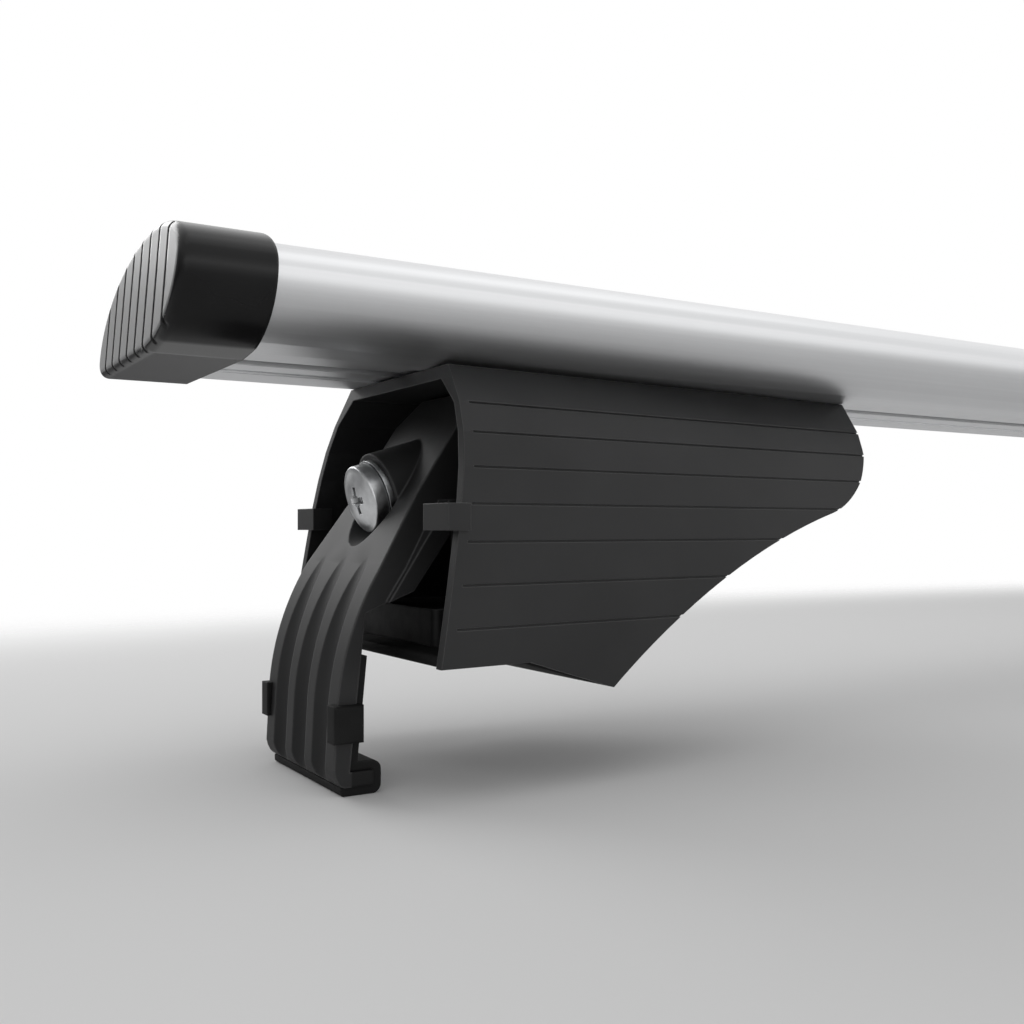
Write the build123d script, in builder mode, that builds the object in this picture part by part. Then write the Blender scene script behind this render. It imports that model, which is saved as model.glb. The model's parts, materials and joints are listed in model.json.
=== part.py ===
"""One crossbar of a roof rack: a wing-section bar on two feet that clamp a car's roof rails.

Millimetres. X runs along the bar, Y along the rails and Z up, with Z = 0 at the lowest
point of the two claws, X = 0 at the middle of the bar and Y = 0 at the middle of its slot.
Every foot piece is drawn for the left foot, in a local frame: x inboard from the top of the
foot's open rim, z up from the rail's top. The right foot is the left one turned half a turn.
"""

from build123d import *
from math import acos, atan2, cos, degrees, radians, sin, tan
import os

# Bar: an aluminium extrusion, blunt nose towards -Y, with a slot along its underside
BAR_LENGTH = 1200.0
BAR_WIDTH = 82.0
BAR_HEIGHT = 27.5
BAR_WALL = 2.0
NOSE_REACH = 46.7
NOSE_Z = 17.2
APEX_BACK = 18.0
BELLY_BACK = 22.0
FACET_BACK = 31.0
CREASE_ROUND = 6.0
TAIL_ROUND = 3.0
TRACK_WIDTH = 32.0
TRACK_DEPTH = 0.8
SLOT_OPENING = 9.0
SLOT_LIP = 2.4
SLOT_WIDTH = 16.0
SLOT_HEIGHT = 7.0
WEB = 1.8

# End cap: a moulded sleeve over the bar's end, with a ribbed and leaning end face
CAP_FIT = 0.15
CAP_WALL = 1.85
CAP_SLEEVE = 20.0
CAP_END = 4.6
CAP_LEAN = 4.5
CAP_ROUND = 2.4
CAP_GROOVES = 8
CAP_GROOVE_PITCH = 9.0
CAP_GROOVE_WIDTH = 1.5
CAP_GROOVE_DEPTH = 1.4

# Foot: place, height and the flat bands of its side
FOOT_INSET = 73.0
FOOT_HEIGHT = 81.0
SLIDE_GAP = 0.2
TOP_HALF = 34.3
BAND_EDGES = (
    (10.4, 54.0),
    (21.5, 53.8),
    (32.6, 53.4),
    (42.4, 52.8),
    (52.0, 51.3),
    (61.3, 48.4),
    (69.5, 43.9),
)
SIDE_TAPER = 0.075
RIM_LEAN = 0.16
RIM_BAND = 3.0
LINE_WIDTH = 0.6
LINE_DEPTH = 0.6
SHELL_WALL = 3.0
SHELL_ROOF = 3.8
SEAT_END = 15.0
TIP_X = 43.7
TIP_DROP = 8.4
SWEEP_X = 82.0
SWEEP_Z = 17.5
CHIN_X = 140.0
CHIN_Z = 41.0
BROW_X = 163.5
BROW_Z = 64.0
END_X = 168.0
SHELL_LIFT = 0.6
LUG_Z = 39.0
LUG_HEIGHT = 7.0
LUG_INNER = 39.5
LUG_OUT = 0.3
LUG_FRONT = 4.0
LUG_BACK = 2.5
CUT_MARGIN = 30.0

# Rubber pad between the foot and the rail
PAD_FRONT = 9.5
PAD_THICK = 3.0
PAD_HALF = 45.5
PAD_END = 40.0

# Cast frame inside the shell
FRAME_HALF = 25.0
BASE_TOP = 13.5
BASE_END = 46.0
FRAME_WEB_X = 32.0
FRAME_WEB = 5.0
FRAME_PLATE = 5.0
FRAME_PLATE_END = 104.0
PLATE_HALF = 19.0
GUSSET = 4.0
GUSSET_TOP = 68.0
FRAME_ROUND = 2.0

# Clamp bolt, its washer and its captive nut; the bolt climbs as it goes inboard
BOLT_X = -5.6
BOLT_DROP = 34.9
BOLT_LEAN = 17.0
BOLT_DIA = 8.0
BOLT_LENGTH = 64.0
BOLT_HOLE = 9.2
TIP_CHAMFER = 1.0
HEAD_DIA = 20.0
HEAD_RIM = 4.2
HEAD_DOME = 1.6
RECESS_WIDTH = 2.4
RECESS_SPAN = 9.5
RECESS_DEPTH = 3.0
WASHER_DIA = 21.0
WASHER_HOLE = 8.6
WASHER_THICK = 1.6
NUT_FLATS = 13.0
NUT_HEIGHT = 6.5
NUT_BORE = 8.1
NUT_FIT = 0.15
NUT_SEAT = 44.0
NUT_BOSS = 21.0

# Bolt that holds the foot in the bar's slot
TEE_X = 84.0
TEE_HEAD = 14.6
TEE_HEAD_HEIGHT = 5.0
TEE_HEAD_ROUND = 1.8
TEE_REACH = 2.4
TEE_WASHER = 17.0

# Claw: a lever that leans inboard, with a ribbed strap that hooks under the rail
ARM_TOP_GAP = 5.0
ARM_LEAN = 33.3
ARM_DEPTH = 14.6
ARM_HALF = 22.0
ARM_TAPER_LOW = 25.0
ARM_TAPER_HIGH = 46.0
ARM_CORNER = 8.0
STRAP_HALF = 27.0
STRAP = 4.5
KNEE_X = -28.6
KNEE_Z = 8.4
KNEE_ROUND = 80.0
STRAP_FOOT_X = -30.7
HOOK_Z = -32.5
HOOK_THICK = 4.0
HOOK_REACH = 11.5
SHELF_X = -21.5
SHELF_Z = 13.3
HEEL_X = -8.0
HEEL_Z = 19.0
REAR_Z = 33.6
CHEEK_BACK = 8.0
CHEEK_PROUD = 1.8
CHEEK_LOW = 16.0
CHEEK_HIGH = 44.0
POCKET_DIA = 24.5
BOSS_DIA = 24.5
FLUTE_PITCH = 15.4
FLUTE_WIDTH = 10.4
FLUTE_DEPTH = 2.4
FLUTE_SWEEP = 101.0
FLUTE_TURN = 26.0

# Rubber liner of the claw
LINER = 2.5
LINER_HALF = 26.0
LINER_TOP = 2.0
LINER_TAB_Z = -15.5
LINER_TAB = 10.0
LINER_FIT = 0.1
LINER_TAB_FRONT = 1.4
LINER_TAB_GRIP = 3.0

SEAT_Z = LINER - HOOK_Z
BAR_Z = SEAT_Z + FOOT_HEIGHT
FOOT_X = FOOT_INSET - BAR_LENGTH / 2
BOLT_Z = FOOT_HEIGHT - BOLT_DROP
ARM_TOP_Z = FOOT_HEIGHT - ARM_TOP_GAP
BAR_PLANE = Plane(origin=(0, 0, BAR_Z), x_dir=(0, 1, 0), z_dir=(1, 0, 0))
SIDE_PLANE = Plane(origin=(FOOT_X, 0, SEAT_Z), x_dir=(1, 0, 0), z_dir=(0, -1, 0))
BOLT_PLANE = Plane(
    origin=(FOOT_X + BOLT_X, 0, SEAT_Z + BOLT_Z),
    x_dir=(0, 1, 0),
    z_dir=(cos(radians(BOLT_LEAN)), 0, sin(radians(BOLT_LEAN))),
)
ARM_SLOPE = tan(radians(ARM_LEAN))
RIM_FOOT_X = -RIM_LEAN * FOOT_HEIGHT
SHELL_TOP = FOOT_HEIGHT - SLIDE_GAP
ROOF_UNDER = SHELL_TOP - SHELL_ROOF
PLATE_UNDER = ROOF_UNDER - FRAME_PLATE
WEB_BACK = FRAME_WEB_X + FRAME_WEB

os.makedirs("parts", exist_ok=True)


def cross_plane(x):
    """The plane across the foot at a place along the bar, drawn in y and z."""
    return Plane(origin=(FOOT_X + x, 0, SEAT_Z), x_dir=(0, 1, 0), z_dir=(1, 0, 0))


def level_plane(z):
    """The level plane of the foot at a height over the rail's top, drawn in x and y."""
    return Plane(origin=(FOOT_X, 0, SEAT_Z + z))


def rim_x(z):
    """Where the foot's leaning rim stands at a height over the rail's top."""
    return -RIM_LEAN * (FOOT_HEIGHT - z)


def arm_front(z):
    """The front of the claw's straight arm at a height."""
    return KNEE_X + ARM_SLOPE * (z - KNEE_Z)


def strap_front(z):
    """The front of the claw's straight strap at a height."""
    return KNEE_X + (STRAP_FOOT_X - KNEE_X) * (KNEE_Z - z) / (KNEE_Z - HOOK_Z)


def export(piece, name):
    """Name a piece and write it."""
    piece.label = name
    export_step(piece, f"parts/{name}.step")


def export_both_feet(piece, name):
    """Write a piece of the left foot, and its twin turned round for the right foot."""
    for side, turn in (("left", 0), ("right", 180)):
        export(piece.rotate(Axis.Z, turn), f"{side}_{name}")


def bar_outline(grow=0.0):
    """The bar's section, grown outwards or inwards by an even amount."""
    tail_y = BAR_WIDTH - NOSE_REACH
    rear_reach = tail_y + APEX_BACK + grow
    front_reach = NOSE_REACH - APEX_BACK + grow
    belly_reach = NOSE_REACH - BELLY_BACK
    facet_turn = degrees(acos((FACET_BACK - BELLY_BACK) / belly_reach))
    top = BAR_HEIGHT + grow
    with BuildSketch() as section:
        with BuildLine():
            CenterArc((tail_y - TAIL_ROUND, TAIL_ROUND), TAIL_ROUND + grow, 270, 90)
            EllipticalCenterArc((-APEX_BACK, TAIL_ROUND), rear_reach, top - TAIL_ROUND, 0, arc_size=90)
            EllipticalCenterArc((-APEX_BACK, NOSE_Z), front_reach, top - NOSE_Z, 90, arc_size=90)
            nose = EllipticalCenterArc(
                (-BELLY_BACK, NOSE_Z),
                belly_reach + grow,
                NOSE_Z + grow,
                180,
                arc_size=facet_turn,
            )
            Polyline(nose @ 1, (-BELLY_BACK, -grow), (tail_y - TAIL_ROUND, -grow))
        make_face()
        creases = [section.vertices().sort_by_distance(p)[0] for p in (nose @ 1, (-BELLY_BACK, -grow))]
        fillet(creases, CREASE_ROUND + grow)
    return section.sketch


SLOT_FLOOR = TRACK_DEPTH + SLOT_LIP
CHANNEL_TOP = SLOT_FLOOR + SLOT_HEIGHT + BAR_WALL

with BuildPart() as crossbar:
    with BuildSketch(BAR_PLANE):
        add(bar_outline())
        # Two chambers, one on each side of the slot channel and its upright web
        with BuildSketch(mode=Mode.SUBTRACT):
            add(bar_outline(-BAR_WALL))
            Rectangle(SLOT_WIDTH + 2 * BAR_WALL, 2 * CHANNEL_TOP, mode=Mode.SUBTRACT)
            Rectangle(TRACK_WIDTH + 2 * BAR_WALL, 2 * SLOT_FLOOR, mode=Mode.SUBTRACT)
            Rectangle(WEB, 4 * BAR_HEIGHT, mode=Mode.SUBTRACT)
        # The shallow track under the bar, the slot's mouth and the slot
        Rectangle(TRACK_WIDTH, 2 * TRACK_DEPTH, mode=Mode.SUBTRACT)
        Rectangle(SLOT_OPENING, 2 * SLOT_FLOOR, mode=Mode.SUBTRACT)
        with Locations((0, SLOT_FLOOR + SLOT_HEIGHT / 2)):
            Rectangle(SLOT_WIDTH, SLOT_HEIGHT, mode=Mode.SUBTRACT)
    extrude(amount=BAR_LENGTH / 2, both=True)

export(crossbar.part, "crossbar")

# The cap's end face leans: its foot stands furthest out
CAP_BOTTOM = BAR_Z - CAP_FIT - CAP_WALL
END_PLANE = Plane(
    origin=(-BAR_LENGTH / 2 - CAP_END, 0, CAP_BOTTOM),
    x_dir=(0, -1, 0),
    z_dir=(-cos(radians(CAP_LEAN)), 0, sin(radians(CAP_LEAN))),
)
CAP_SPAN = CAP_END + CAP_SLEEVE

with BuildPart() as end_cap:
    with BuildSketch(BAR_PLANE.offset(CAP_SLEEVE - BAR_LENGTH / 2)):
        add(bar_outline(CAP_FIT + CAP_WALL))
    extrude(amount=-CAP_SPAN)
    split(bisect_by=END_PLANE, keep=Keep.BOTTOM)
    fillet(end_cap.faces().sort_by(Axis.X)[0].edges(), CAP_ROUND)
    with BuildSketch(BAR_PLANE.offset(CAP_SLEEVE - BAR_LENGTH / 2)):
        add(bar_outline(CAP_FIT))
    extrude(amount=-CAP_SLEEVE, mode=Mode.SUBTRACT)
    with BuildSketch(END_PLANE):
        with Locations((NOSE_REACH - BAR_WIDTH / 2, 0)):
            with GridLocations(CAP_GROOVE_PITCH, 0, CAP_GROOVES, 1):
                Rectangle(CAP_GROOVE_WIDTH, 4 * BAR_HEIGHT)
    extrude(amount=-CAP_GROOVE_DEPTH, mode=Mode.SUBTRACT)

export(end_cap.part, "left_end_cap")
export(mirror(end_cap.part, about=Plane.YZ), "right_end_cap")


def arch(x, inset=0.0, lower=0.0):
    """The foot's banded outline across the bar, narrowing inboard."""
    narrow = inset + SIDE_TAPER * (x - RIM_FOOT_X)
    side = [(half - narrow, z) for z, half in BAND_EDGES]
    foot_z = -TIP_DROP - CUT_MARGIN
    right = [(side[0][0], foot_z), *side, (TOP_HALF - narrow, SHELL_TOP - lower)]
    left = [(-y, z) for y, z in reversed(right)]
    with BuildSketch(cross_plane(x)) as outline:
        with BuildLine():
            Polyline(*right, *left, close=True)
        make_face()
    return outline.sketch


def tapered_body(inset=0.0, lower=0.0):
    """The long tapered block that the shell is cut from."""
    with BuildPart() as body:
        loft([arch(x, inset, lower) for x in (RIM_FOOT_X - CUT_MARGIN, END_X + CUT_MARGIN)], ruled=True)
    return body.part


def shell_side(inset=0.0):
    """The shell's outline from the side, drawn in x and z, with its inboard edge taken in."""
    tip = (TIP_X - inset, -TIP_DROP)
    chin = (CHIN_X - inset, CHIN_Z + inset)
    brow = (BROW_X - inset, BROW_Z)
    with BuildSketch() as side:
        with BuildLine():
            under = ThreePointArc(tip, (SWEEP_X - inset, SWEEP_Z + inset), chin)
            TangentArc(chin, brow, tangent=under % 1)
            Polyline(
                brow,
                (END_X - inset, FOOT_HEIGHT),
                (0, FOOT_HEIGHT),
                (rim_x(SHELL_LIFT), SHELL_LIFT),
                (SEAT_END, SHELL_LIFT),
                tip,
            )
        make_face()
    return side.sketch


SHELL_REACH = 2 * BAND_EDGES[0][1]
SHELL_CORE = tapered_body(LINE_DEPTH)

with BuildPart() as shell_void:
    add(tapered_body(SHELL_WALL, SHELL_ROOF))
    with BuildSketch(SIDE_PLANE):
        add(shell_side(SHELL_WALL))
        # Open outboard and below
        with Locations((TIP_X - 2 * SHELL_WALL, FOOT_HEIGHT)):
            Rectangle(TIP_X + 2 * CUT_MARGIN, FOOT_HEIGHT + CUT_MARGIN, align=Align.MAX)
    extrude(amount=SHELL_REACH, both=True, mode=Mode.INTERSECT)

with BuildPart() as line_cuts:
    for line_z, _ in BAND_EDGES:
        with BuildSketch(level_plane(line_z - LINE_WIDTH / 2)):
            with Locations((rim_x(line_z) + RIM_BAND, 0)):
                Rectangle(2 * END_X, SHELL_REACH * 2, align=(Align.MIN, Align.CENTER))
        extrude(amount=LINE_WIDTH)
    add(SHELL_CORE, mode=Mode.SUBTRACT)

with BuildPart() as shell:
    add(tapered_body())
    with BuildSketch(SIDE_PLANE):
        add(shell_side())
    extrude(amount=SHELL_REACH, both=True, mode=Mode.INTERSECT)
    add(shell_void.part, mode=Mode.SUBTRACT)
    add(line_cuts.part, mode=Mode.SUBTRACT)
    lug_outer = BAND_EDGES[2][1] + LUG_OUT
    with BuildSketch(level_plane(LUG_Z - LUG_HEIGHT / 2)):
        for lug_side in (-1, 1):
            with Locations((rim_x(LUG_Z) - LUG_FRONT, lug_side * (LUG_INNER + lug_outer) / 2)):
                Rectangle(LUG_FRONT + LUG_BACK, lug_outer - LUG_INNER, align=(Align.MIN, Align.CENTER))
    extrude(amount=LUG_HEIGHT)
    with Locations((FOOT_X + TEE_X, 0, SEAT_Z + FOOT_HEIGHT)):
        Hole(BOLT_HOLE / 2, 2 * SHELL_ROOF)

export_both_feet(shell.part, "foot_shell")


def seat_slope(x):
    """Height of the sloping inboard half of the rail seat."""
    return -TIP_DROP * max(0.0, x - SEAT_END) / (TIP_X - SEAT_END)


with BuildPart() as pad:
    with BuildSketch(SIDE_PLANE):
        with BuildLine():
            Polyline(
                (-PAD_FRONT, 0),
                (SEAT_END, 0),
                (PAD_END, seat_slope(PAD_END)),
                (PAD_END, seat_slope(PAD_END) + PAD_THICK),
                (SEAT_END, PAD_THICK),
                (-PAD_FRONT, PAD_THICK),
                close=True,
            )
        make_face()
    extrude(amount=PAD_HALF, both=True)

export_both_feet(pad.part, "seat_pad")


def upright_side():
    """The frame's base and upright web from the side, drawn in x and z."""
    with BuildSketch() as side:
        with BuildLine():
            Polyline(
                (0, PAD_THICK),
                (SEAT_END, PAD_THICK),
                (PAD_END, seat_slope(PAD_END) + PAD_THICK),
                (BASE_END, BASE_TOP),
                (WEB_BACK, BASE_TOP),
                (WEB_BACK, ROOF_UNDER),
                (FRAME_WEB_X, ROOF_UNDER),
                (FRAME_WEB_X, BASE_TOP),
                (0, BASE_TOP),
                close=True,
            )
        make_face()
    return side.sketch


def gusset_side():
    """One stiffening rib in the corner between the web and the top plate."""
    with BuildSketch() as side:
        with BuildLine():
            Polyline(
                (WEB_BACK, BASE_TOP),
                (BASE_END, BASE_TOP),
                (GUSSET_TOP, PLATE_UNDER),
                (WEB_BACK, PLATE_UNDER),
                close=True,
            )
        make_face()
    return side.sketch


def slanted_disc(diameter, start, end):
    """A round solid on the clamp bolt's axis, between two distances from its seat."""
    with BuildPart() as disc:
        with BuildSketch(BOLT_PLANE.offset(start)):
            Circle(diameter / 2)
        extrude(amount=end - start)
    return disc.part


def hex_prism(plane, flats, height):
    """A six-sided solid."""
    with BuildPart() as prism:
        with BuildSketch(plane):
            RegularPolygon(flats / 2, 6, major_radius=False)
        extrude(amount=height)
    return prism.part


NUT_END = NUT_SEAT + NUT_HEIGHT
WEB_START = (FRAME_WEB_X - BOLT_X) / cos(radians(BOLT_LEAN))

with BuildPart() as frame:
    with BuildSketch(SIDE_PLANE):
        add(upright_side())
    extrude(amount=FRAME_HALF, both=True)
    fillet(frame.edges().filter_by(Axis.Z).group_by(Axis.X)[0], FRAME_ROUND)
    with BuildSketch(level_plane(PLATE_UNDER)):
        with Locations((FRAME_WEB_X, 0)):
            Rectangle(FRAME_PLATE_END - FRAME_WEB_X, 2 * PLATE_HALF, align=(Align.MIN, Align.CENTER))
    extrude(amount=FRAME_PLATE)
    for gusset_y in (GUSSET / 2 - PLATE_HALF, PLATE_HALF - GUSSET / 2):
        with BuildSketch(SIDE_PLANE.offset(gusset_y)):
            add(gusset_side())
        extrude(amount=GUSSET / 2, both=True)
    add(slanted_disc(NUT_BOSS, WEB_START + FRAME_WEB / 2, NUT_END))
    add(slanted_disc(BOLT_HOLE, 0, BOLT_LENGTH), mode=Mode.SUBTRACT)
    add(hex_prism(BOLT_PLANE.offset(NUT_SEAT), NUT_FLATS + 2 * NUT_FIT, NUT_HEIGHT), mode=Mode.SUBTRACT)
    with Locations((FOOT_X + TEE_X, 0, SEAT_Z + ROOF_UNDER)):
        Hole(BOLT_HOLE / 2, 2 * FRAME_PLATE)

export_both_feet(frame.part, "foot_frame")

with BuildPart() as clamp_nut:
    add(hex_prism(BOLT_PLANE.offset(NUT_SEAT), NUT_FLATS, NUT_HEIGHT))
    add(slanted_disc(NUT_BORE, 0, BOLT_LENGTH), mode=Mode.SUBTRACT)

export_both_feet(clamp_nut.part, "clamp_nut")

with BuildPart() as clamp_washer:
    add(slanted_disc(WASHER_DIA, -WASHER_THICK, 0))
    add(slanted_disc(WASHER_HOLE, -BOLT_LENGTH, BOLT_LENGTH), mode=Mode.SUBTRACT)

export_both_feet(clamp_washer.part, "clamp_washer")

HEAD_UNDER = -WASHER_THICK
HEAD_FRONT = HEAD_UNDER - HEAD_RIM
HEAD_CROWN = HEAD_FRONT - HEAD_DOME
BOLT_TIP = HEAD_UNDER + BOLT_LENGTH
DOME_RADIUS = (HEAD_DIA**2 / 4 + HEAD_DOME**2) / (2 * HEAD_DOME)

with BuildPart() as clamp_bolt:
    with BuildSketch(Plane(BOLT_PLANE.origin, x_dir=BOLT_PLANE.z_dir, z_dir=(0, 1, 0))):
        with BuildLine():
            dome = RadiusArc((HEAD_FRONT, HEAD_DIA / 2), (HEAD_CROWN, 0), DOME_RADIUS)
            Polyline(
                dome @ 1,
                (BOLT_TIP, 0),
                (BOLT_TIP, BOLT_DIA / 2 - TIP_CHAMFER),
                (BOLT_TIP - TIP_CHAMFER, BOLT_DIA / 2),
                (HEAD_UNDER, BOLT_DIA / 2),
                (HEAD_UNDER, HEAD_DIA / 2),
                dome @ 0,
            )
        make_face()
    revolve(axis=Axis(BOLT_PLANE.origin, BOLT_PLANE.z_dir))
    with BuildSketch(BOLT_PLANE.offset(HEAD_CROWN)):
        Rectangle(RECESS_SPAN, RECESS_WIDTH)
        Rectangle(RECESS_WIDTH, RECESS_SPAN)
    extrude(amount=RECESS_DEPTH, mode=Mode.SUBTRACT)

export_both_feet(clamp_bolt.part, "clamp_bolt")

# The slot bolt hangs from the slot's lips, through the shell's roof and the frame's plate
TEE_SEAT = FOOT_HEIGHT + TRACK_DEPTH + SLOT_LIP + SLIDE_GAP
TEE_NUT_TOP = PLATE_UNDER - WASHER_THICK
TEE_END = TEE_NUT_TOP - NUT_HEIGHT - TEE_REACH


def tee_disc(diameter, low, high):
    """A round upright solid on the slot bolt's axis."""
    with BuildPart() as disc:
        with BuildSketch(level_plane(low)):
            with Locations((TEE_X, 0)):
                Circle(diameter / 2)
        extrude(amount=high - low)
    return disc.part


with BuildPart() as slot_bolt:
    add(tee_disc(BOLT_DIA, TEE_END, TEE_SEAT))
    chamfer(slot_bolt.edges().sort_by(Axis.Z)[0], TIP_CHAMFER)
    with BuildSketch(level_plane(TEE_SEAT)):
        with Locations((TEE_X, 0)):
            RectangleRounded(TEE_HEAD, TEE_HEAD, TEE_HEAD_ROUND)
    extrude(amount=TEE_HEAD_HEIGHT)

export_both_feet(slot_bolt.part, "slot_bolt")

with BuildPart() as slot_washer:
    add(tee_disc(TEE_WASHER, TEE_NUT_TOP, PLATE_UNDER))
    add(tee_disc(WASHER_HOLE, TEE_END, PLATE_UNDER), mode=Mode.SUBTRACT)

export_both_feet(slot_washer.part, "slot_washer")

with BuildPart() as slot_nut:
    nut_plane = Plane(origin=(FOOT_X + TEE_X, 0, SEAT_Z + TEE_NUT_TOP - NUT_HEIGHT))
    add(hex_prism(nut_plane, NUT_FLATS, NUT_HEIGHT))
    add(tee_disc(NUT_BORE, TEE_END, PLATE_UNDER), mode=Mode.SUBTRACT)

export_both_feet(slot_nut.part, "slot_nut")


def claw_side(shift=0.0):
    """The claw from the side: arm, knee, strap and hook, moved inboard by a shift."""
    hook_inner = HOOK_Z + HOOK_THICK
    points = [
        (arm_front(ARM_TOP_Z), ARM_TOP_Z),
        (KNEE_X, KNEE_Z),
        (STRAP_FOOT_X, HOOK_Z),
        (STRAP_FOOT_X + HOOK_REACH, HOOK_Z),
        (STRAP_FOOT_X + HOOK_REACH, hook_inner),
        (strap_front(hook_inner) + STRAP, hook_inner),
        (SHELF_X, SHELF_Z),
        (HEEL_X, HEEL_Z),
        (arm_front(REAR_Z) + ARM_DEPTH, REAR_Z),
        (arm_front(ARM_TOP_Z) + ARM_DEPTH, ARM_TOP_Z),
    ]
    with BuildSketch() as side:
        with BuildLine():
            Polyline(*[(x + shift, z) for x, z in points], close=True)
        make_face()
        fillet(side.vertices().sort_by_distance((KNEE_X + shift, KNEE_Z))[0], KNEE_ROUND)
    return side.sketch


def claw_front():
    """The claw's width, seen along the bar."""
    half = [(STRAP_HALF, HOOK_Z - CUT_MARGIN), (STRAP_HALF, ARM_TAPER_LOW), (ARM_HALF, ARM_TAPER_HIGH)]
    half += [(ARM_HALF, ARM_TOP_Z - ARM_CORNER), (ARM_HALF - ARM_CORNER, ARM_TOP_Z)]
    with BuildSketch() as front:
        with BuildLine():
            Polyline(*half, *[(-y, z) for y, z in reversed(half)], close=True)
        make_face()
    return front.sketch


def cheek_side():
    """The thicker back half of the arm's sides, from its ledge to its rear."""
    with BuildSketch() as cheek:
        with BuildLine():
            Polyline(
                (arm_front(CHEEK_LOW) + CHEEK_BACK, CHEEK_LOW),
                (arm_front(CHEEK_HIGH) + CHEEK_BACK, CHEEK_HIGH),
                (arm_front(CHEEK_HIGH) + ARM_DEPTH, CHEEK_HIGH),
                (arm_front(REAR_Z) + ARM_DEPTH, REAR_Z),
                (HEEL_X, HEEL_Z),
                close=True,
            )
        make_face()
    return cheek.sketch


CLAW_START = STRAP_FOOT_X - CUT_MARGIN
CLAW_SPAN = arm_front(ARM_TOP_Z) + ARM_DEPTH + CUT_MARGIN - CLAW_START

# A round flute runs up the strap and leaves its front in a point, on a flatter curve than the knee's
FLUTE_RADIUS = (FLUTE_WIDTH**2 / 4 + FLUTE_DEPTH**2) / (2 * FLUTE_DEPTH)
FLUTE_LINE = FLUTE_RADIUS - FLUTE_DEPTH
STRAP_LEAN = degrees(atan2(KNEE_X - STRAP_FOOT_X, KNEE_Z - HOOK_Z))
BEND_Z = KNEE_Z - KNEE_ROUND * tan(radians(ARM_LEAN - STRAP_LEAN) / 2) * cos(radians(STRAP_LEAN))
FLUTE_LOW = HOOK_Z - CUT_MARGIN

with BuildPart() as flute:
    with BuildLine(SIDE_PLANE) as flute_path:
        low = (strap_front(FLUTE_LOW) - FLUTE_LINE, FLUTE_LOW)
        run = Line(low, (strap_front(BEND_Z) - FLUTE_LINE, BEND_Z))
        JernArc(run @ 1, run % 1, FLUTE_SWEEP + FLUTE_LINE, -FLUTE_TURN)
    with BuildSketch(Plane(flute_path.wires()[0] @ 0, z_dir=flute_path.wires()[0] % 0)):
        Circle(FLUTE_RADIUS)
    sweep()

with BuildPart() as boss:
    add(slanted_disc(BOSS_DIA, 0, 2 * ARM_DEPTH))
    with BuildSketch(SIDE_PLANE):
        with BuildLine():
            Polyline(
                (arm_front(HEEL_Z) + ARM_DEPTH - STRAP, HEEL_Z),
                (arm_front(ARM_TOP_Z) + ARM_DEPTH - STRAP, ARM_TOP_Z),
                (KNEE_X - CUT_MARGIN, ARM_TOP_Z),
                (KNEE_X - CUT_MARGIN, HEEL_Z),
                close=True,
            )
        make_face()
    extrude(amount=BOSS_DIA, both=True, mode=Mode.INTERSECT)

with BuildPart() as claw:
    with BuildSketch(SIDE_PLANE):
        add(claw_side())
    extrude(amount=STRAP_HALF, both=True)
    with BuildSketch(cross_plane(CLAW_START)):
        add(claw_front())
    extrude(amount=CLAW_SPAN, mode=Mode.INTERSECT)
    with BuildSketch(SIDE_PLANE):
        add(cheek_side())
    extrude(amount=STRAP_HALF + CHEEK_PROUD, both=True)
    add(boss.part)
    add(slanted_disc(POCKET_DIA, -BOLT_LENGTH, 0), mode=Mode.SUBTRACT)
    add(slanted_disc(BOLT_HOLE, -BOLT_LENGTH, BOLT_LENGTH), mode=Mode.SUBTRACT)
    for flute_y in (-FLUTE_PITCH, 0, FLUTE_PITCH):
        add(flute.part.translate((0, flute_y, 0)), mode=Mode.SUBTRACT)

export_both_feet(claw.part, "claw")

# The liner lines the strap and wraps the hook, and its two tabs grip the strap's edges
HOOK_INNER = HOOK_Z + HOOK_THICK
HOOK_END = STRAP_FOOT_X + HOOK_REACH + LINER_FIT
LINER_FOOT = strap_front(HOOK_INNER) + STRAP + LINER_FIT
LINER_HEAD = strap_front(LINER_TOP) + STRAP + LINER_FIT + (SHELF_X - strap_front(SHELF_Z) - STRAP) / 2

with BuildPart() as liner:
    with BuildSketch(SIDE_PLANE):
        with BuildLine():
            Polyline(
                (LINER_HEAD, LINER_TOP),
                (LINER_FOOT, HOOK_INNER + LINER_FIT),
                (HOOK_END, HOOK_INNER + LINER_FIT),
                (HOOK_END, HOOK_Z - LINER_FIT),
                (STRAP_FOOT_X + LINER, HOOK_Z - LINER_FIT),
                (STRAP_FOOT_X + LINER, HOOK_Z - LINER),
                (HOOK_END + LINER, HOOK_Z - LINER),
                (HOOK_END + LINER, HOOK_INNER + LINER),
                (LINER_FOOT + LINER, HOOK_INNER + LINER),
                (LINER_HEAD + LINER, LINER_TOP),
                close=True,
            )
        make_face()
    extrude(amount=LINER_HALF, both=True)
    tab_back = strap_front(LINER_TAB_Z) + STRAP + LINER
    tab_front = strap_front(LINER_TAB_Z) - LINER_TAB_FRONT
    tab_outer = STRAP_HALF + LINER_FIT + LINER
    tab_width = tab_outer - STRAP_HALF + LINER_TAB_GRIP
    with BuildSketch(level_plane(LINER_TAB_Z - LINER_TAB / 2)):
        for tab_side in (-1, 1):
            with Locations((tab_front, tab_side * (tab_outer - tab_width / 2))):
                Rectangle(tab_back - tab_front, tab_width, align=(Align.MIN, Align.CENTER))
    extrude(amount=LINER_TAB)
    with BuildSketch(SIDE_PLANE):
        add(claw_side())
    extrude(amount=STRAP_HALF + LINER_FIT, both=True, mode=Mode.SUBTRACT)

export_both_feet(liner.part, "claw_liner")
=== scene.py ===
"""Looks of a roof-rack crossbar.

Finishes for its solids, rounded copies of the claws, pads and liners, threaded clamp screws and a
plain studio round them.
"""

import json
from math import cos, pi, radians, sin, sqrt, tau

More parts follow.
